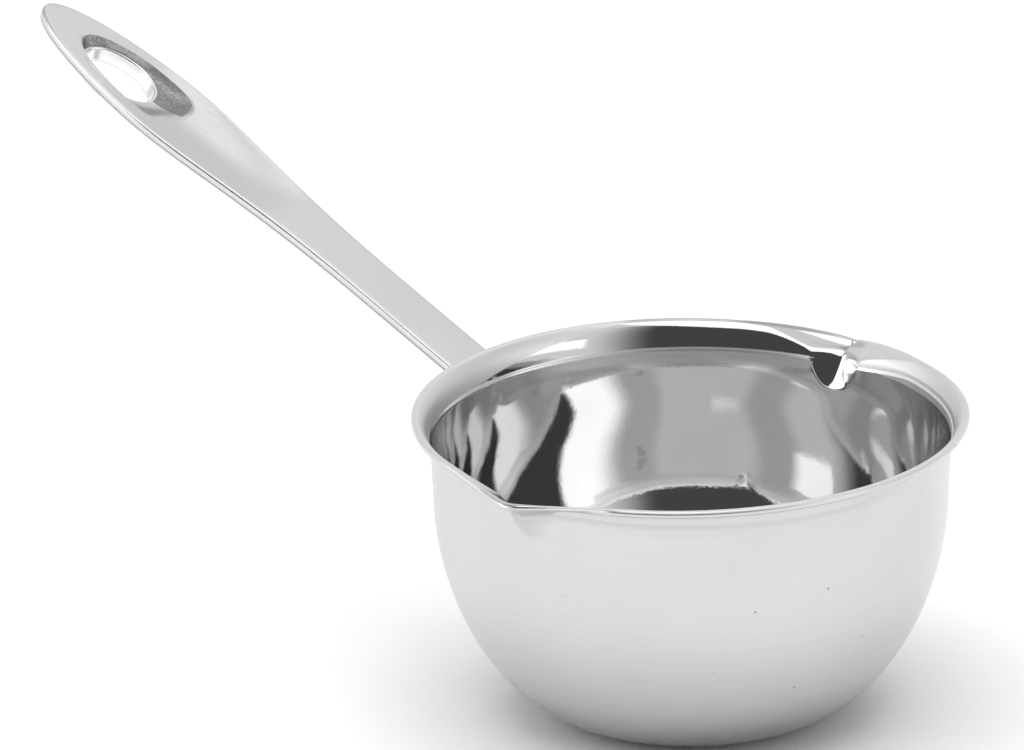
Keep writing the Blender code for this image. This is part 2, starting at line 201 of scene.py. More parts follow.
# Camera: a long lens, from the side of the spout at -Y
CAMERA_AZIMUTH = 39.6
CAMERA_ELEVATION = 20.5
CAMERA_DISTANCE = 2500.0
CAMERA_AIM_Z = 49.7
CAMERA_LENS = 545.0
CAMERA_YAW = 0.658  # small turns, in degrees, that frame the whole pot
CAMERA_PITCH = 0.1442
CAMERA_ROLL = 0.4
SENSOR_WIDTH = 36.0

# The studio round the pot. Each panel: the azimuths where it begins and ends, with the width of its soft
# edge at each, the same for its elevations, and its radiance, laid over the panels before it.
WALL_RADIANCE = 0.8
PANELS = (
    ("shaded wall behind the handle", (160.0, 14.0), (204.0, 14.0), (-5.0, 4.0), (64.0, 8.0), 0.62),
    ("key softbox", (203.0, 34.0), (250.5, 7.0), (2.0, 3.0), (48.0, 6.0), 1.85),
    ("dark side of the room", (250.5, 8.0), (341.0, 34.0), (3.0, 4.0), (52.0, 6.0), 0.07),
    ("flag under the ceiling", (200.0, 20.0), (300.0, 20.0), (48.0, 4.0), (60.0, 6.0), 0.12),
    ("shaded wall facing the handle", (31.0, 20.0), (70.0, 20.0), (2.0, 3.0), (62.0, 8.0), 0.58),
    ("back light", (78.0, 10.0), (108.0, 8.0), (46.0, 8.0), (68.0, 8.0), 1.2),
    ("back shade", (110.0, 8.0), (152.0, 10.0), (51.0, 6.0), (67.0, 6.0), 0.45),
    ("strip light", (-4.0, 4.0), (33.0, 16.0), (6.0, 3.0), (20.5, 3.0), 1.6),
)
CEILING_AIM = (-70.0, 74.0)  # azimuth and elevation of the round ceiling light's middle
CEILING_REACH = 26.0
CEILING_EDGE = 4.0
CEILING_RADIANCE = 1.45
MIRROR_BOUNCES = 24  # the polished inside mirrors itself many times over
FLOOR_LIGHT = 1.5  # an overhead light, left out of reflections, that mostly lights the matt floor
FLOOR_LIGHT_ANGLE = 65.0
FLOOR_SIZE = 4.0  # metres from the middle to the side
FLOOR_Z = -0.0002


def clamp(x):
    return min(max(x, 0.0), 1.0)


def smoothstep(x):
    x = clamp(x)
    return x * x * (3.0 - 2.0 * x)


def mix(a, b, share):
    return a + (b - a) * share


def arc(centre, radius, start, end, steps):
    """Points on an arc, from one angle to another, in degrees."""
    angles = [math.radians(start + (end - start) * i / steps) for i in range(steps + 1)]
    return [(centre[0] + radius * math.cos(a), centre[1] + radius * math.sin(a)) for a in angles]


def spread(start, end, steps):
    """Numbers from one to another, in equal steps, with both ends."""
    return [mix(start, end, i / steps) for i in range(steps + 1)]


def line(start, end, steps):
    """Points along a straight line, with both ends."""
    return list(zip(spread(start[0], end[0], steps), spread(start[1], end[1], steps)))


def flank(offset, steps):
    """The curved lower wall, from the base's edge up: an offset of 0 is its outside face."""
    points = []
    power = mix(FLANK_SPREAD, FLANK_SPREAD_INSIDE, offset / BOWL_SHEET)
    for i in range(steps + 1):
        t = 0.5 * math.pi * i / steps
        across = FLANK_RADIUS - BASE_RADIUS - offset
        rise = FLANK_HEIGHT - offset
        out = BASE_RADIUS + across * math.sin(t) ** power
        points.append((out, offset + rise * (1.0 - abs(math.cos(t)) ** FLANK_LIFT)))
    return points


def bead_centre():
    return LIP_RADIUS - BEAD_RADIUS, HEIGHT - BEAD_RADIUS


def brim_top():
    """Radius and height where the brim's inside face runs into the bead."""
    lean = math.radians(BRIM_LEAN)
    radius, height = bead_centre()
    return radius - BEAD_RADIUS * math.cos(lean), height + BEAD_RADIUS * math.sin(lean)


def brim_radius(z):
    """Radius of the brim's inside face: steep at the fold, and flaring more and more towards the bead."""
    radius, height = brim_top()
    rise = height - FOLD_Z
    mean_slope = (radius - FOLD_RADIUS) / rise
    top_slope = math.tan(math.radians(BRIM_LEAN))
    flare = (top_slope - mean_slope) * (BRIM_POWER + 1.0) / BRIM_POWER
    up = clamp((z - FOLD_Z) / rise)
    slope = top_slope - flare
    return FOLD_RADIUS + rise * (slope * up + flare * up ** (BRIM_POWER + 1.0) / (BRIM_POWER + 1.0))


def wall_radius(z):
    """Radius of the wall's inside face: almost upright, then turned out sharply under the fold."""
    lean = math.radians(FLARE_LEAN)
    flare_radius = FLARE_HEIGHT / math.sin(lean)
    below = FOLD_Z - FLARE_HEIGHT
    inner = FLANK_RADIUS - BOWL_SHEET
    foot = FOLD_RADIUS - flare_radius * (1.0 - math.cos(lean))
    if z <= below:
        return mix(inner, foot, clamp((z - FLANK_HEIGHT) / (below - FLANK_HEIGHT)) ** WALL_CURVE)
    up = min(z, FOLD_Z) - below
    return foot + flare_radius - math.sqrt(flare_radius**2 - up**2)


def inside_radius(z):
    return brim_radius(z) if z > FOLD_Z else wall_radius(z)


def radius_at(points, z):
    """Radius of a rising list of points at a height, by straight lines between them."""
    for (r0, z0), (r1, z1) in zip(points, points[1:]):
        if z0 <= z <= z1:
            return mix(r0, r1, (z - z0) / (z1 - z0))
    return points[0][0] if z < points[0][1] else points[-1][0]


def eased(points):
    """The points with their radii averaged over a little height, where the flank runs into the wall."""
    found = []
    for radius, z in points:
        share = smoothstep(2.0 - abs(z - FLANK_HEIGHT) / EASED_REACH)
        steps = [EASED_REACH * i / EASED_STEPS for i in range(-EASED_STEPS, EASED_STEPS + 1)]
        mean = sum(radius_at(points, z + step) for step in steps) / len(steps)
        found.append((mix(radius, mean, share), z))
    return found


def inside_profile():
    """Radius and height of the inside, from the lip's bead down to the middle of the floor."""
    brim_steps, flare_steps, wall_steps = INSIDE_STEPS
    flare_z = FOLD_Z - FLARE_HEIGHT
    heights = spread(brim_top()[1], FOLD_Z + FOLD_HALF_GAP, brim_steps)
    heights += spread(FOLD_Z - FOLD_HALF_GAP, flare_z, flare_steps)
    brim = [(inside_radius(z), z) for z in heights]
    low = flank(BOWL_SHEET, FLANK_STEPS)
    wall = spread(FLANK_HEIGHT, flare_z, wall_steps)[1:-1]
    side = eased(low + [(inside_radius(z), z) for z in wall])
    middle = (BASE_RADIUS * FLOOR_INNER_SHARE, BOWL_SHEET)
    return brim + side[::-1] + line(low[0], middle, FLOOR_STEPS)[1:]


def outside_profile():
    """Radius and height of the outside, from the middle of the base up to the crease under the bead."""
    wall_steps, brim_steps = OUTSIDE_STEPS
    low = flank(0.0, FLANK_STEPS)
    points = line((BASE_RADIUS * FLOOR_INNER_SHARE, 0.0), low[0], FLOOR_STEPS)[:-1] + low
    bend = FOLD_Z - OUTER_FOLD_DROP
    points += line(low[-1], (WALL_RADIUS, bend), wall_steps)[1:]
    under = bead_centre()[1] - BEAD_RADIUS * BEAD_CREASE
    for z in spread(bend, under, brim_steps)[1:]:
        share = smoothstep(0.5 * (z - bend) / OUTER_FOLD_DROP)
        points.append((mix(WALL_RADIUS, brim_radius(max(z, FOLD_Z)) + BRIM_SHEET, share), z))
    return points


def bowl_profile():
    bead = bead_centre()
    lip = arc(bead, BEAD_RADIUS, BEAD_START, 180.0 - BRIM_LEAN, LIP_STEPS)
    return outside_profile() + lip + inside_profile()


def turn_from(azimuth, other):
    return (azimuth - other + 180.0) % 360.0 - 180.0


def soft_positive(x, width):
    """x where it is positive, 0 where it is negative, with a round corner of that width."""
    if x <= -width:
        return 0.0
    return x if x >= width else (x + width) ** 2 / (4.0 * width)


def with_raised_fold(radius, azimuth, height):
    """A point of the bowl, moved to where the uneven fold puts it."""
    turned = turn_from(azimuth, 0.0)
    side = smoothstep((RAISED_FROM[0] - turned) / (RAISED_FROM[0] - RAISED_FROM[1]))
    side *= smoothstep((turned - RAISED_TO[1]) / (RAISED_TO[0] - RAISED_TO[1]))
    if height >= FOLD_Z:
        near = 1.0 - smoothstep((height - FOLD_Z) / RISE_REACH_UP)
        rise = FOLD_RISE
    else:
        below = (FOLD_Z - height) / FLARE_HEIGHT
        near = 1.0 - smoothstep((below - 1.0) * FLARE_HEIGHT / RISE_REACH_DOWN)
        rise = FOLD_RISE + FLARE_TIGHTENED * min(below, 1.0)
    return radius + FOLD_OUTWARD * side * near, height + rise * side * near


def with_spouts(radius, azimuth, height):
    """A point of the plain bowl, moved to where the nearest spout's pressing puts it."""
    turns = [(turn_from(azimuth, spout), dip) for spout, dip in zip(SPOUT_AZIMUTHS, SPOUT_DIPS)]
    turn, spout_dip = min(turns, key=lambda pair: abs(pair[0]))
    level = min(height, brim_top()[1])
    ridge = WALL_RADIUS - BOWL_SHEET + (level - SPOUT_FOOT_Z) * SPOUT_SLOPE
    depth = soft_positive(ridge - inside_radius(level), FOOT_SOFTNESS)
    above = clamp((height - FOLD_Z) / BRIM_HEIGHT)
    below = clamp((level - SPOUT_FOOT_Z) / (FOLD_Z - SPOUT_FOOT_Z))
    half = mix(*SPOUT_HALF_ANGLES, above**SPOUT_WIDENING)
    half *= mix(SPOUT_FOOT_SHARE, 1.0, math.sqrt(below))
    softness = mix(*POINT_SOFTNESSES, above)
    away = (math.hypot(turn, softness) - softness) / half
    push = depth * max(0.0, 1.0 - away) ** mix(*SPOUT_POWERS, above)
    dip = spout_dip * max(0.0, 1.0 - abs(turn) / SPOUT_DIP_HALF_ANGLE) ** 2
    dip += LIP_SAG * smoothstep(1.0 - abs(turn) / LIP_SAG_HALF_ANGLE)
    return radius + push, height - dip * smoothstep(above)


def bowl_azimuths():
    """Azimuths of the bowl's columns, close together at the spouts and wider apart between them."""
    turns = [SPOUT_TURNS[0] * i for i in range(SPOUT_TURNS[1] + 1)]
    turns += [turns[-1] + OUTER_TURNS[0] * i for i in range(1, OUTER_TURNS[1] + 1)]
    near = [-turn for turn in reversed(turns[1:])] + turns
    spouts = sorted(azimuth % 360.0 for azimuth in SPOUT_AZIMUTHS)
    found = []
    for spout, following in zip(spouts, [spouts[1], spouts[0] + 360.0]):
        found += [spout + step for step in near]
        start, end = spout + near[-1], following + near[0]
        count = round((end - start) / OPEN_TURN)
        found += [mix(start, end, i / count) for i in range(1, count)]
    return found


def add_object(name, mesh, materials, sharp_angle):
    """A new piece from a bmesh, shaded smooth except at edges sharper than an angle in degrees."""
    data = bpy.data.meshes.new(name)
    mesh.to_mesh(data)
    mesh.free()
    for material in materials:
        data.materials.append(material)
    data.shade_smooth()
    data.set_sharp_from_angle(angle=math.radians(sharp_angle))
    obj = bpy.data.objects.new(name, data)
    bpy.context.scene.collection.objects.link(obj)
    return obj


def make_bowl(outside_steel, inside_steel):
    """The bowl: the sheet's section turned about Z, with the spouts pressed into its brim."""
    profile = bowl_profile()
    first_inside = len(outside_profile()) + POLISHED_LIP_STEP
    columns = bowl_azimuths()
    mesh = bmesh.new()
    grid = []
    for radius, height in profile:
        ring = []
        for azimuth in columns:
            r, z = with_spouts(radius, azimuth, height)
            r, z = with_raised_fold(r, azimuth, z)
            a = math.radians(azimuth)
            ring.append(mesh.verts.new((r * math.cos(a) * MM, r * math.sin(a) * MM, z * MM)))
        grid.append(ring)
    for row, (lower, upper) in enumerate(zip(grid, grid[1:])):
        for i in range(len(columns)):
            j = (i + 1) % len(columns)
            face = mesh.faces.new((lower[i], lower[j], upper[j], upper[i]))
            face.material_index = int(row >= first_inside)
    under = mesh.verts.new((0.0, 0.0, profile[0][1] * MM))
    floor = mesh.verts.new((0.0, 0.0, profile[-1][1] * MM))
    for i in range(len(columns)):
        j = (i + 1) % len(columns)
        mesh.faces.new((under, grid[0][j], grid[0][i]))
        face = mesh.faces.new((floor, grid[-1][i], grid[-1][j]))
        face.material_index = 1
    return add_object("pot_bowl", mesh, (outside_steel, inside_steel), 50.0)


def rounded_path(corners, radii, steps):
    """A path through corners, each rounded by its radius, as a list of points."""
    points = [Vector(corners[0])]
    for before, corner, after, radius in zip(corners, corners[1:], corners[2:], radii):
        corner = Vector(corner)
        back = (Vector(before) - corner).normalized()
        ahead = (Vector(after) - corner).normalized()
        half = 0.5 * math.acos(max(-1.0, min(1.0, back.dot(ahead))))
        run = radius / math.tan(half)
        centre = corner + (back + ahead).normalized() * (radius / math.sin(half))
        start, end = corner + back * run - centre, corner + ahead * run - centre
        for i in range(steps + 1):
            points.append(centre + start.slerp(end, i / steps).normalized() * radius)
    points.append(Vector(corners[-1]))
    return points


def handle_root():
    """Side view of the top face's root, as (distance from Z, height), from the tab's bottom past the lip."""
    brim_low = Vector((ROOT_FOLD_RADIUS + BOWL_SHEET, FOLD_Z))
    brim_high = Vector((LIP_RADIUS - BEAD_RADIUS + 0.2, HEIGHT - BEAD_RADIUS * 2.0))
    along = (brim_high - brim_low).normalized()
    outward = Vector((along.y, -along.x))
    start = brim_low + outward * BRIM_GAP
    tab_radius = WALL_RADIUS + TAB_GAP
    low = start + along * ((tab_radius - start.x) / along.x)
    slope = math.tan(HANDLE_SLOPE)
    gap = FACE_Z + (start.x - LIP_RADIUS) * slope - start.y
    high = start + along * (gap / (along.y - slope * along.x))
    end = Vector((LIP_RADIUS + ROOT_END, FACE_Z + ROOT_END * slope))
    corners = [(tab_radius, TAB_BOTTOM_Z), low, high, end]
    return rounded_path(corners, ROOT_BEND_RADII, ROOT_BEND_STEPS)


def face_half_width(along):
    """Half width of the flat top face at a distance along it."""
    if along > LEAF_WIDEST:
        x = min((along - LEAF_WIDEST) / (FACE_LENGTH - LEAF_WIDEST), 1.0)
        return LEAF_HALF_WIDTH * math.sqrt(1.0 - x**LEAF_TAPER)
    x = max((along - NECK_END) / (LEAF_WIDEST - NECK_END), 0.0)
    return mix(NECK_HALF_WIDTH, LEAF_HALF_WIDTH, smoothstep(x**LEAF_WIDENING))


def dish(along, across):
    """Depth of the shallow hollow in the top face."""
    lengthwise = max(0.0, 1.0 - ((along - DISH_CENTRE) / DISH_HALF_LENGTH) ** 2) ** 1.5
    crosswise = max(0.0, 1.0 - (across / max(face_half_width(along), 0.1)) ** 2)
    return DISH_DEPTH * lengthwise * crosswise


def face_point(along, across, drop=0.0):
    """A vertex's place from its distance along and across the top face, and below it."""
    drop += dish(along, across)
    out = LIP_RADIUS + along * math.cos(HANDLE_SLOPE) + drop * math.sin(HANDLE_SLOPE)
    up = FACE_Z + along * math.sin(HANDLE_SLOPE) - drop * math.cos(HANDLE_SLOPE)
    return Vector((-out, across, up)) * MM


def edge_steps(turned):
    """Outward and downward steps round the bend and down the flange, from the flat face's border."""
    steps = []
    for i in range(1, EDGE_STEPS + 1):
        a = turned * 0.5 * math.pi * i / EDGE_STEPS
        bent = (EDGE_RADIUS * math.sin(a), EDGE_RADIUS * (1.0 - math.cos(a)))
        flat = (EDGE_RADIUS * i / EDGE_STEPS, 0.0)
        steps.append(tuple(turned * b + (1.0 - turned) * f for b, f in zip(bent, flat)))
    out, drop = steps[-1]
    steps.append((out + (1.0 - turned) * FLAT_MARGIN, max(drop + 0.02, turned * FLANGE_DEPTH)))
    return steps


def strap_section(centre, normal, half_width, turned, wall_curve, hollow=0.0):
    """Points across the handle at one station, from one flange's edge to the other's."""
    face = [(half_width * (2.0 * i / CROSS_STEPS - 1.0), 0.0) for i in range(CROSS_STEPS + 1)]
    steps = edge_steps(turned)
    left = [(-half_width - out, drop) for out, drop in reversed(steps)]
    right = [(half_width + out, drop) for out, drop in steps]
    points = []
    for across, drop in left + face + right:
        if abs(across) < half_width:
            drop += hollow * (1.0 - (across / half_width) ** 2)
        out, up = centre - normal * drop
        out -= wall_curve * (out - math.sqrt(out * out - across * across))
        points.append(Vector((-out, across, up)) * MM)
    return points


def root_sections():
    """Sections of the tab, which follows the wall's curve, and of the bends up to the lip."""
    root = handle_root()
    sections = []
    lengths = [(b - a).length for a, b in zip(root, root[1:])]
    for i, point in enumerate(root[:-1]):
        ahead = root[i + 1] - root[max(i - 1, 0)]
        normal = Vector((-ahead.y, ahead.x)).normalized()
        share = sum(lengths[:i]) / sum(lengths)
        narrowed = smoothstep((share - ROOT_NARROWING[0]) / ROOT_NARROWING[1])
        half = mix(TAB_HALF_WIDTH, NECK_HALF_WIDTH, narrowed)
        if i == 0:
            for k in range(CORNER_STEPS + 1):
                a = 0.5 * math.pi * k / CORNER_STEPS
                low = point + Vector((0.0, TAB_CORNER * (1.0 - math.cos(a))))
                narrow = TAB_CORNER * (1.0 - math.sin(a))
                sections.append(strap_section(low, normal, half - narrow, 0.0, 1.0))
        else:
            turned = smoothstep((point.x - LIP_RADIUS + FLANGE_START) / FLANGE_FADE)
            curve = smoothstep((ROOT_FLATTENED[0] - share) / ROOT_FLATTENED[1])
            sections.append(strap_section(point, normal, half, turned, curve))
    return sections


def strap_sections():
    """Sections of the root and of the straight handle, up to the leaf."""
    sections = root_sections()
    normal = Vector((-math.sin(HANDLE_SLOPE), math.cos(HANDLE_SLOPE)))
    for along in list(FIRST_STATIONS) + spread(STRAP_START, LEAF_START, STRAP_STEPS):
        out = LIP_RADIUS + along * math.cos(HANDLE_SLOPE)
        centre = Vector((out, FACE_Z + along * math.sin(HANDLE_SLOPE)))
        half = face_half_width(along)
        sections.append(strap_section(centre, normal, half, 1.0, 0.0, dish(along, 0.0)))
    return sections


def leaf_border():
    """The flat face's border round the leaf, from one side of its start, round the tip, to the other."""
    border = []
    for i in range(1, LEAF_STEPS + 1):
        x = math.sin(0.5 * math.pi * i / LEAF_STEPS)
        along = mix(LEAF_START, FACE_LENGTH, x)
        border.append((along, face_half_width(along) if i < LEAF_STEPS else 0.0))
    return border + [(along, -across) for along, across in reversed(border[:-1])]


def border_normals(border, first, last):
    """Outward normals of the leaf's border, from its neighbours."""
    chain = [first] + border + [last]
    normals = []
    for before, after in zip(chain, chain[2:]):
        ahead = Vector(after) - Vector(before)
        normals.append(Vector((-ahead.y, ahead.x)).normalized())
    return normals


def recess_half_width(along):
    """Half width of the recess: an ellipse towards the tip, blunt towards the pot."""
    beyond = along - RECESS_WIDEST
    if beyond > 0.0:
        return RECESS_HALF_WIDTH * math.sqrt(max(0.0, 1.0 - (beyond / RECESS_TIP_REACH) ** 2))
    return RECESS_HALF_WIDTH * max(0.0, 1.0 - (-beyond / RECESS_POT_REACH) ** 4) ** 0.4


def recess_reach(direction):
    """Distance from the hole's centre to the recess's outline, by halving the interval."""
    near, far = 0.0, RECESS_TIP_REACH + RECESS_POT_REACH
    for _ in range(30):
        middle = 0.5 * (near + far)
        if abs(direction.y) * middle < recess_half_width(HOLE_CENTRE + direction.x * middle):
            near = middle
        else:
            far = middle
    return near


def hole_reach(direction):
    return 1.0 / math.hypot(direction.x / HOLE_HALF_LENGTH, direction.y / HOLE_HALF_WIDTH)


def leaf_rows(border):
    """Loops of (along, across, drop) from the leaf's border in to the collar's lower edge."""
    middle = Vector((HOLE_CENTRE, 0.0))
    directions = [(Vector(point) - middle).normalized() for point in border]
    outline = [middle + direction * recess_reach(direction) for direction in directions]
    rows = [[(x, y, 0.0) for x, y in border]]
    for i in range(1, FLAT_ROWS + 1):
        share = i / FLAT_ROWS
        pairs = zip(border, outline)
        rows.append([(mix(x, o.x, share), mix(y, o.y, share), 0.0) for (x, y), o in pairs])
    for i in range(1, RECESS_ROWS + 1):
        inward = i / RECESS_ROWS
        steep, soft = 1.0 - (1.0 - inward) ** RECESS_STEEPNESS, smoothstep(inward)
        row = []
        for direction, outer in zip(directions, outline):
            depth = RECESS_DEPTH * mix(soft, steep, smoothstep(0.5 + 2.0 * direction.y))
            rim = middle + direction * (hole_reach(direction) + COLLAR_BEND)
            x, y = outer + (rim - outer) * inward * 0.98
            row.append((x, y, depth))
        rows.append(row)
    collar = []
    for i in range(1, COLLAR_STEPS + 1):
        a = 0.5 * math.pi * i / COLLAR_STEPS
        drop = RECESS_DEPTH + COLLAR_BEND * (1.0 - math.cos(a))
        collar.append((COLLAR_BEND * (1.0 - math.sin(a)), drop))
    for i in range(1, COLLAR_STEPS + 1):
        share = i / COLLAR_STEPS
        collar.append((-COLLAR_TAPER * share, mix(RECESS_DEPTH + COLLAR_BEND, COLLAR_DEPTH, share)))
    for inset, drop in collar:
        points = [middle + direction * (hole_reach(direction) + inset) for direction in directions]
        rows.append([(x, y, drop) for x, y in points])
    return rows


def add_strip(mesh, one, two):
    """Faces between two rows of the same number of vertices."""
    return [mesh.faces.new((one[i], two[i], two[i + 1], one[i + 1])) for i in range(len(one) - 1)]


def add_leaf(mesh, end):
    """The leaf round the hole, joined to the strap's last section."""
    edge = EDGE_STEPS + 1
    half = face_half_width(LEAF_START)
    border = leaf_border()
    normals = border_normals(border, (LEAF_START, half), (LEAF_START, -half))
    rim = []
    for (x, y), normal in zip(border, normals):
        column = [mesh.verts.new(face_point(x, y))]
        for out, drop in edge_steps(1.0):
            column.append(mesh.verts.new(face_point(x + normal.x * out, y + normal.y * out, drop)))
        rim.append(column)
    first = end[edge + CROSS_STEPS :]
    last = list(reversed(end[: edge + 1]))
    for one, two in zip([first] + rim, rim + [last]):
        add_strip(mesh, one, two)

    start = [(LEAF_START, half * (2.0 * i / CROSS_STEPS - 1.0)) for i in range(CROSS_STEPS + 1)]
    ring = end[edge : edge + CROSS_STEPS + 1] + [column[0] for column in rim]
    outline = start + border
    rows = leaf_rows(outline)
    for number, row in enumerate(rows[1:]):
        inner = [mesh.verts.new(face_point(*point)) for point in row]
        faces = add_strip(mesh, ring + ring[:1], inner + inner[:1])
        for face, (along, across) in zip(faces, outline):
            bearing = math.degrees(math.atan2(across, along - HOLE_CENTRE))
            # The collar's faces get the lighter copy of the handle's steel: a painted highlight
            if number >= FLAT_ROWS + RECESS_ROWS:
                face.material_index = 2
            # Faces on the recess's side round these bearings get the dark grey steel: a painted dark
            # reflection
            elif number >= FLAT_ROWS:
                turn = turn_from(bearing, DARK_REFLECTION_MIDDLE)
                face.material_index = int(abs(turn) < DARK_REFLECTION_HALF_ANGLE)
        ring = inner


def make_handle(materials):
    """The handle: one sheet surface, thickened downward. Its materials: face, one side of the recess with a
    painted dark reflection, and the collar, lighter as a painted highlight.
    """
    mesh = bmesh.new()
    sections = [[mesh.verts.new(point) for point in section] for section in strap_sections()]
    for lower, upper in zip(sections, sections[1:]):
        add_strip(mesh, lower, upper)
    add_leaf(mesh, sections[-1])
    bmesh.ops.recalc_face_normals(mesh, faces=mesh.faces)
    highest = max(mesh.faces, key=lambda face: abs(face.normal.z) * face.calc_area())
    if highest.normal.z < 0.0:
        bmesh.ops.reverse_faces(mesh, faces=mesh.faces)
    handle = add_object("pot_handle", mesh, materials, 40.0)
    sheet = handle.modifiers.new("sheet", "SOLIDIFY")
    sheet.thickness = HANDLE_SHEET * MM
    sheet.offset = -1.0
    return handle


def make_floor(material):
    mesh = bmesh.new()
    bmesh.ops.create_grid(mesh, x_segments=1, y_segments=1, size=FLOOR_SIZE)
    for vertex in mesh.verts:
        vertex.co.z = FLOOR_Z
    return add_object("studio_floor", mesh, (material,), 30.0)


def make_camera():
    """The camera, aimed by small turns from the line to the middle of the lip."""
    elevation = math.radians(CAMERA_ELEVATION)
    middle = Vector((0.0, 0.0, CAMERA_AIM_Z))
    away = Vector((0.0, -math.cos(elevation), math.sin(elevation)))
    place = middle + away * CAMERA_DISTANCE
    forward = -away
    right = Vector((1.0, 0.0, 0.0))
    up = right.cross(forward)
    yaw = Matrix.Rotation(math.radians(CAMERA_YAW), 3, up)
    forward, right = yaw @ forward, yaw @ right
    pitch = Matrix.Rotation(math.radians(CAMERA_PITCH), 3, right)
    forward, up = pitch @ forward, pitch @ up
    roll = Matrix.Rotation(math.radians(CAMERA_ROLL), 3, forward)
    right, up = roll @ right, roll @ up
    turn = Matrix.Rotation(math.radians(CAMERA_AZIMUTH), 3, "Z")
    axes = Matrix((turn @ right, turn @ up, turn @ -forward)).transposed()
    data = bpy.data.cameras.new("camera")
    data.lens = CAMERA_LENS
    data.sensor_width = SENSOR_WIDTH
    data.clip_start = 0.1
    data.clip_end = 50.0
    camera = bpy.data.objects.new("camera", data)
    bpy.context.scene.collection.objects.link(camera)
    camera.matrix_world = Matrix.Translation(turn @ place * MM) @ axes.to_4x4()
    bpy.context.scene.camera = camera


class Graph:
    """A short way to add and join the nodes of a material or world."""

    def __init__(self, tree):
        self.tree = tree
        tree.nodes.clear()

    def add(self, kind, settings=None, **inputs):
        """A new node. Inputs are sockets to join or values to set, by name with _ for a space."""
        node = self.tree.nodes.new(kind)
        for key, value in (settings or {}).items():
            setattr(node, key, value)
        for key, value in inputs.items():
            self.put(node.inputs[key.replace("_", " ")], value)
        return node

    def put(self, socket, value):
        if isinstance(value, bpy.types.NodeSocket):
            self.tree.links.new(value, socket)
        else:
            socket.default_value = value

    def math(self, operation, *values):
        node = self.add("ShaderNodeMath", {"operation": operation})
        for socket, value in zip(node.inputs, values):
            self.put(socket, value)
        return node.outputs[0]

    def step(self, value, low, high, to_low=0.0, to_high=1.0):
        """A smooth step from to_low to to_high as the value goes from low to high."""
        node = self.add("ShaderNodeMapRange", {"interpolation_type": "SMOOTHSTEP"})
        for socket, number in zip(node.inputs, (value, low, high, to_low, to_high)):
            self.put(socket, number)
        return node.outputs[0]

    def stretched(self, place, scale):
        """A place scaled along each axis, from metres to the pattern's own units."""
        node = self.add("ShaderNodeVectorMath", {"operation": "MULTIPLY"})
        self.put(node.inputs[0], place)
        self.put(node.inputs[1], scale)
        return node.outputs[0]

    def noise(self, place, scale, detail=2.0, roughness=0.5):
        vector = self.stretched(place, scale)
        settings = {"Scale": 1.0, "Detail": detail, "Roughness": roughness}
        return self.add("ShaderNodeTexNoise", Vector=vector, **settings).outputs["Fac"]

    def hairlines(self, place, scale, patch_scale, rarity):
        """Thin short lines: a stretched noise's peaks, kept only in patches."""
        lines = self.step(self.noise(place, scale, 3.0, 0.6), rarity, rarity + 0.06)
        patches = self.step(self.noise(place, patch_scale, 1.0), 0.5, 0.62)
        return self.math("MULTIPLY", lines, patches)

    def specks(self, place, per_mm, size, share):
        """Small round spots, in a share of the cells of a Voronoi pattern."""
        vector = self.stretched(place, (per_mm / MM,) * 3)
        node = self.add("ShaderNodeTexVoronoi", Vector=vector, Scale=1.0)
        near = self.step(node.outputs["Distance"], size * 0.5, size, 1.0, 0.0)
        split = self.add("ShaderNodeSeparateColor", Color=node.outputs["Color"])
        chosen = self.step(split.outputs[0], 1.0 - share, 1.0 - share + 0.01)
        return self.math("MULTIPLY", near, chosen)


def per_mm(x, y, z):
    return (x / MM, y / MM, z / MM)


def steel(name, shade, roughness, bump_height, tone_tint=(1.0, 1.0, 1.0)):
    """A steel material, from (graph, place) functions of its shade, roughness and surface height."""
    material = bpy.data.materials.new(name)
    material.use_nodes = True
    graph = Graph(material.node_tree)
    place = graph.add("ShaderNodeTexCoord").outputs["Object"]
    tone = shade(graph, place)
    channels = [graph.math("MULTIPLY", tone, share) for share in tone_tint]
    color = graph.add("ShaderNodeCombineColor", Red=channels[0], Green=channels[1], Blue=channels[2])
    bump = graph.add("ShaderNodeBump", Strength=1.0, Distance=MM, Height=bump_height(graph, place))
    shader = graph.add("ShaderNodeBsdfPrincipled", Metallic=1.0)
    graph.put(shader.inputs["Base Color"], color.outputs[0])
    graph.put(shader.inputs["Roughness"], roughness(graph, place))
    graph.put(shader.inputs["Normal"], bump.outputs[0])
    graph.add("ShaderNodeOutputMaterial", Surface=shader.outputs[0])
    return material


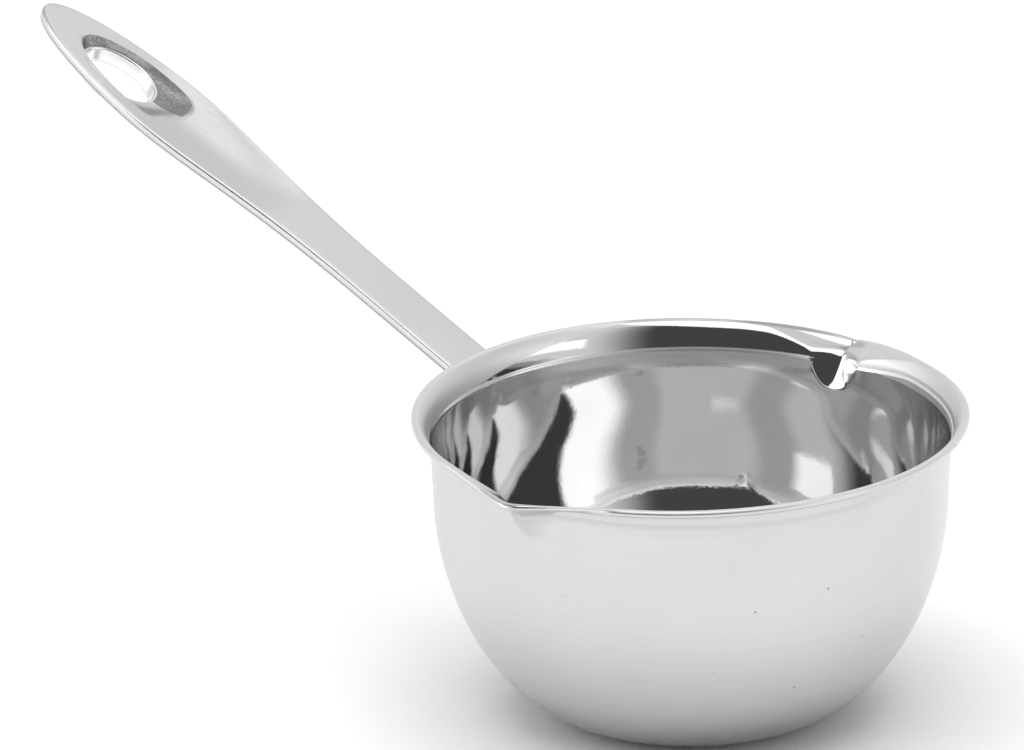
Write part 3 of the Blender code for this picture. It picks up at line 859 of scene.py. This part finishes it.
def satin_steel():
    """The bowl's outside: satin, with faint turning lines, hairline scratches and a few dark specks."""

    def shade(graph, place):
        cloud = graph.noise(place, per_mm(0.035, 0.035, 0.02), 3.0)
        turned = graph.noise(place, per_mm(0.02, 0.02, 2.4), 4.0, 0.6)
        clouded = graph.step(cloud, 0.3, 0.7, 0.63, 0.66)
        tone = graph.math("ADD", clouded, graph.step(turned, 0.3, 0.7, -0.01, 0.01))
        up_lines = graph.hairlines(place, per_mm(4.5, 4.5, 0.10), per_mm(0.12, 0.12, 0.09), 0.66)
        across_lines = graph.hairlines(place, per_mm(0.09, 0.09, 7.0), per_mm(0.10, 0.10, 0.14), 0.66)
        tone = graph.math("MULTIPLY_ADD", up_lines, 0.06, tone)
        tone = graph.math("MULTIPLY_ADD", across_lines, -0.11, tone)
        specks = graph.specks(place, 0.33, 0.1, 0.07)
        return graph.math("MULTIPLY_ADD", specks, -0.33, tone)

    def roughness(graph, place):
        cloud = graph.noise(place, per_mm(0.05, 0.05, 0.03), 3.0)
        lines = graph.hairlines(place, per_mm(0.09, 0.09, 7.0), per_mm(0.10, 0.10, 0.14), 0.6)
        return graph.math("MULTIPLY_ADD", lines, 0.12, graph.step(cloud, 0.25, 0.75, 0.26, 0.33))

    def height(graph, place):
        turned = graph.noise(place, per_mm(0.03, 0.03, 5.0), 3.0, 0.6)
        peel = graph.noise(place, per_mm(0.8, 0.8, 0.8), 2.0)
        return graph.math("MULTIPLY_ADD", turned, 0.0035, graph.math("MULTIPLY", peel, 0.006))

    return steel("bowl_satin_steel", shade, roughness, height)


def brim_place(graph, place):
    """Azimuth in degrees, also from 0 to 360, and the height above the fold as a share of the brim's."""
    axes = graph.add("ShaderNodeSeparateXYZ", Vector=place).outputs
    azimuth = graph.math("DEGREES", graph.math("ARCTAN2", axes["Y"], axes["X"]))
    up = graph.math("MULTIPLY_ADD", axes["Z"], 1.0 / (BRIM_HEIGHT * MM), -FOLD_Z / BRIM_HEIGHT)
    return azimuth, graph.math("WRAP", azimuth, 360.0, 0.0), up


def brim_satin(graph, place):
    """1 on the buffed parts of the brim, 0 on its mirror part, in the front spout and inside the bowl."""
    _, turn, up = brim_place(graph, place)
    edge = graph.math("MULTIPLY_ADD", up, -BUFFED_SLANT, BUFFED_TO)
    past = graph.step(graph.math("SUBTRACT", turn, edge), -BORDER_SOFTNESS, BORDER_SOFTNESS)
    start = graph.math("MULTIPLY_ADD", up, -SPOUT_SLANT, turn)
    half = 0.5 * BORDER_SOFTNESS
    before = graph.step(start, BUFFED_FROM - half, BUFFED_FROM + half, 1.0, 0.0)
    spout = graph.math("ABSOLUTE", graph.math("SUBTRACT", turn, SPOUT_AZIMUTHS[1] % 360.0))
    off_spout = graph.step(spout, BUFFED_SPOUT - BORDER_SOFTNESS, BUFFED_SPOUT + BORDER_SOFTNESS)
    sectors = graph.math("MULTIPLY", graph.math("MAXIMUM", past, before), off_spout)
    return graph.math("MULTIPLY", sectors, graph.step(up, 0.005, 0.03))


def fold_dullness(graph, place):
    """1 just under the fold, fading down, except beside the handle, in the spouts and where it rises."""
    azimuth, turn, up = brim_place(graph, place)
    below_fold = graph.step(up, 0.0, 0.05, 1.0, 0.0)
    dull = graph.math("MULTIPLY", graph.step(up, *DULL_BELOW_FOLD), below_fold)
    polished = [(azimuth, *POLISHED_FRONT), (turn, *POLISHED_BEHIND)]
    half, edge = POLISHED_SPOUT
    polished += [(azimuth, spout - half, spout + half, edge) for spout in SPOUT_AZIMUTHS]
    for angle, low, high, soft in polished:
        after = graph.step(angle, low - 0.5 * soft, low + 0.5 * soft)
        before = graph.step(angle, high - 0.5 * soft, high + 0.5 * soft, 1.0, 0.0)
        keep = graph.math("SUBTRACT", 1.0, graph.math("MULTIPLY", after, before))
        dull = graph.math("MULTIPLY", dull, keep)
    return dull


def mirror_steel():
    """The bowl's inside: a mirror polish with a fine orange peel and the traces of the polishing wheel."""

    def shade(graph, place):
        cloud = graph.noise(place, per_mm(0.05, 0.05, 0.05), 3.0)
        lines = graph.hairlines(place, per_mm(3.0, 3.0, 0.25), per_mm(0.15, 0.15, 0.15), 0.7)
        tone = graph.math("MULTIPLY_ADD", lines, -0.05, graph.step(cloud, 0.3, 0.7, 0.705, 0.735))
        return graph.math("MULTIPLY_ADD", brim_satin(graph, place), SATIN_BRIGHTER, tone)

    def roughness(graph, place):
        grain = graph.noise(place, per_mm(3.0, 3.0, 3.0), 2.0)
        lines = graph.hairlines(place, per_mm(0.2, 0.2, 6.0), per_mm(0.12, 0.12, 0.12), 0.68)
        polish = graph.math("MULTIPLY_ADD", lines, 0.08, graph.step(grain, 0.3, 0.7, 0.015, 0.045))
        satin = graph.math("MAXIMUM", brim_satin(graph, place), fold_dullness(graph, place))
        return graph.math("MULTIPLY_ADD", satin, SATIN_ROUGHNESS, polish)

    def height(graph, place):
        peel = graph.noise(place, per_mm(1.6, 1.6, 1.6), 3.0, 0.55)
        wave = graph.noise(place, per_mm(0.11, 0.11, 0.05), 1.0)
        return graph.math("MULTIPLY_ADD", peel, 0.0035, graph.math("MULTIPLY", wave, 0.05))

    return steel("bowl_mirror_steel", shade, roughness, height)


def handle_steel(name, lowest_shade):
    """The handle: a bright satin finish rubbed lengthwise, a little worn. A high lowest shade gives a
    lighter copy, a painted highlight.
    """

    def shade(graph, place):
        cloud = graph.noise(place, per_mm(0.04, 0.06, 0.04), 3.0)
        rubbed = graph.hairlines(place, per_mm(0.12, 5.0, 0.12), per_mm(0.1, 0.2, 0.1), 0.68)
        specks = graph.specks(place, 0.4, 0.09, 0.05)
        clouded = graph.step(cloud, 0.3, 0.7, lowest_shade, lowest_shade + 0.03)
        tone = graph.math("MULTIPLY_ADD", rubbed, -0.05, clouded)
        return graph.math("MULTIPLY_ADD", specks, -0.25, tone)

    def roughness(graph, place):
        grain = graph.noise(place, per_mm(0.3, 4.0, 0.3), 3.0)
        return graph.step(grain, 0.3, 0.7, 0.2, 0.28)

    def height(graph, place):
        rubbed = graph.noise(place, per_mm(0.1, 6.0, 0.1), 3.0, 0.6)
        peel = graph.noise(place, per_mm(1.2, 1.2, 1.2), 2.0)
        return graph.math("MULTIPLY_ADD", rubbed, 0.0015, graph.math("MULTIPLY", peel, 0.005))

    return steel(name, shade, roughness, height)


def painted_reflection_steel():
    """One side of the recess round the hanging hole: dark grey and grainy, a painted dark reflection."""

    def shade(graph, place):
        grain = graph.noise(place, per_mm(3.5, 3.5, 3.5), 4.0, 0.7)
        return graph.step(grain, 0.3, 0.7, 0.2, 0.5)

    def roughness(graph, place):
        grain = graph.noise(place, per_mm(3.0, 3.0, 3.0), 3.0)
        return graph.step(grain, 0.3, 0.7, 0.3, 0.5)

    def height(graph, place):
        return graph.math("MULTIPLY", graph.noise(place, per_mm(3.5, 3.5, 3.5), 4.0, 0.7), 0.02)

    return steel("recess_painted_reflection_steel", shade, roughness, height)


def weld_steel():
    """The spot welds: rougher, with a heat tint, pitted."""

    def shade(graph, place):
        stain = graph.noise(place, per_mm(0.9, 0.9, 0.9), 4.0)
        return graph.step(stain, 0.3, 0.7, 0.42, 0.62)

    def roughness(graph, place):
        grain = graph.noise(place, per_mm(2.5, 2.5, 2.5), 3.0)
        return graph.step(grain, 0.3, 0.7, 0.32, 0.5)

    def height(graph, place):
        return graph.math("MULTIPLY", graph.noise(place, per_mm(3.0, 3.0, 3.0), 4.0), 0.03)

    return steel("weld_tinted_steel", shade, roughness, height, tone_tint=(1.0, 0.95, 0.86))


def floor_paint():
    """The studio's pale floor: matt, with a barely visible grain."""
    material = bpy.data.materials.new("studio_floor")
    material.use_nodes = True
    graph = Graph(material.node_tree)
    place = graph.add("ShaderNodeTexCoord").outputs["Object"]
    grain = graph.step(graph.noise(place, per_mm(0.02, 0.02, 0.02), 3.0), 0.3, 0.7, 0.875, 0.885)
    color = graph.add("ShaderNodeCombineColor", Red=grain, Green=grain, Blue=grain)
    shader = graph.add("ShaderNodeBsdfPrincipled", Roughness=0.9)
    graph.put(shader.inputs["Specular IOR Level"], 0.0)
    graph.put(shader.inputs["Base Color"], color.outputs[0])
    graph.add("ShaderNodeOutputMaterial", Surface=shader.outputs[0])
    return material


def panel_mask(graph, azimuth, elevation, start, end, low, high):
    """1 inside a panel and 0 outside it, with soft edges."""
    middle = 0.5 * (start[0] + end[0])
    turned = graph.math("WRAP", graph.math("SUBTRACT", azimuth, middle), 180.0, -180.0)
    after = graph.step(turned, start[0] - 0.5 * start[1] - middle, start[0] + 0.5 * start[1] - middle)
    before = graph.step(turned, end[0] - 0.5 * end[1] - middle, end[0] + 0.5 * end[1] - middle, 1.0, 0.0)
    mask = graph.math("MULTIPLY", after, before)
    above = graph.step(elevation, low[0] - 0.5 * low[1], low[0] + 0.5 * low[1])
    below = graph.step(elevation, high[0] - 0.5 * high[1], high[0] + 0.5 * high[1], 1.0, 0.0)
    return graph.math("MULTIPLY", mask, graph.math("MULTIPLY", above, below))


def make_studio():
    """The world: pale walls with softboxes and a dark side, as the steel mirrors them."""
    world = bpy.data.worlds.new("studio")
    world.use_nodes = True
    bpy.context.scene.world = world
    graph = Graph(world.node_tree)
    direction = graph.add("ShaderNodeTexCoord").outputs["Generated"]
    axes = graph.add("ShaderNodeSeparateXYZ", Vector=direction).outputs
    azimuth = graph.math("DEGREES", graph.math("ARCTAN2", axes["Y"], axes["X"]))
    elevation = graph.math("DEGREES", graph.math("ARCSINE", axes["Z"]))
    radiance = WALL_RADIANCE
    for _, start, end, low, high, strength in PANELS:
        mask = panel_mask(graph, azimuth, elevation, start, end, low, high)
        change = graph.math("SUBTRACT", strength, radiance)
        radiance = graph.math("MULTIPLY_ADD", mask, change, radiance)
    turn, tilt = (math.radians(angle) for angle in CEILING_AIM)
    aim = (math.cos(tilt) * math.cos(turn), math.cos(tilt) * math.sin(turn), math.sin(tilt))
    facing = graph.add("ShaderNodeVectorMath", {"operation": "DOT_PRODUCT"})
    graph.put(facing.inputs[0], direction)
    graph.put(facing.inputs[1], aim)
    away = graph.math("DEGREES", graph.math("ARCCOSINE", facing.outputs["Value"]))
    half = 0.5 * CEILING_EDGE
    ceiling = graph.step(away, CEILING_REACH - half, CEILING_REACH + half, 1.0, 0.0)
    change = graph.math("SUBTRACT", CEILING_RADIANCE, radiance)
    radiance = graph.math("MULTIPLY_ADD", ceiling, change, radiance)
    background = graph.add("ShaderNodeBackground", Color=(1.0, 1.0, 1.0, 1.0), Strength=radiance)
    graph.add("ShaderNodeOutputWorld", Surface=background.outputs[0])

    light = bpy.data.lights.new("floor_light", "SUN")
    light.energy = FLOOR_LIGHT
    light.angle = math.radians(FLOOR_LIGHT_ANGLE)
    lamp = bpy.data.objects.new("floor_light", light)
    lamp.visible_glossy = False
    bpy.context.scene.collection.objects.link(lamp)


def make_weld(node, material):
    """A spot weld: a round pad on the tab with a rounded edge and a pressed middle."""
    low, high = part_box(node)
    middle = 0.5 * (low + high)
    radius = 0.5 * (high.z - low.z) / MM
    proud = low.x / MM
    profile = [(high.x / MM, 0.0), (high.x / MM, radius)]
    for out, reach in arc((proud + WELD_EDGE, radius - WELD_EDGE), WELD_EDGE, 90.0, 180.0, 6):
        profile.append((out, reach))
    for i in range(1, WELD_RINGS):
        share = 1.0 - i / WELD_RINGS
        pressed = WELD_DIMPLE * smoothstep(1.25 - 1.5 * share)
        profile.append((proud + pressed, share * (radius - WELD_EDGE)))
    mesh = bmesh.new()
    rings = []
    for out, reach in profile[1:]:
        ring = []
        for i in range(WELD_SIDES):
            a = 2.0 * math.pi * i / WELD_SIDES
            place = (out, reach * math.cos(a), reach * math.sin(a) + middle.z / MM)
            ring.append(mesh.verts.new(Vector(place) * MM))
        rings.append(ring)
    for one, two in zip(rings, rings[1:]):
        add_strip(mesh, one + one[:1], two + two[:1])
    mesh.faces.new(rings[0])
    mesh.faces.new(rings[-1])
    bmesh.ops.recalc_face_normals(mesh, faces=mesh.faces)
    return add_object("pot_" + node, mesh, (material,), 40.0)


def main():
    bowl = make_bowl(satin_steel(), mirror_steel())
    face_steel = handle_steel("handle_bright_steel", 0.69)
    # The collar's lighter copy of the handle's steel is a painted highlight
    collar_highlight_steel = handle_steel("collar_painted_highlight_steel", 0.92)
    # The recess's dark grey steel is a painted dark reflection
    handle = make_handle((face_steel, painted_reflection_steel(), collar_highlight_steel))
    weld_material = weld_steel()
    pieces = [(bowl, "bowl", "bowl_steel"), (handle, "handle", "handle_steel")]
    for node in WELDS:
        pieces.append((make_weld(node, weld_material), node, "weld_steel"))
    for piece, node, slot in pieces:
        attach(piece, "root")
        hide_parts(node)
    make_floor(floor_paint())
    make_studio()
    make_camera()
    scene = bpy.context.scene
    scene.view_settings.view_transform = "Standard"
    scene.cycles.max_bounces = MIRROR_BOUNCES
    scene.cycles.glossy_bounces = MIRROR_BOUNCES


main()
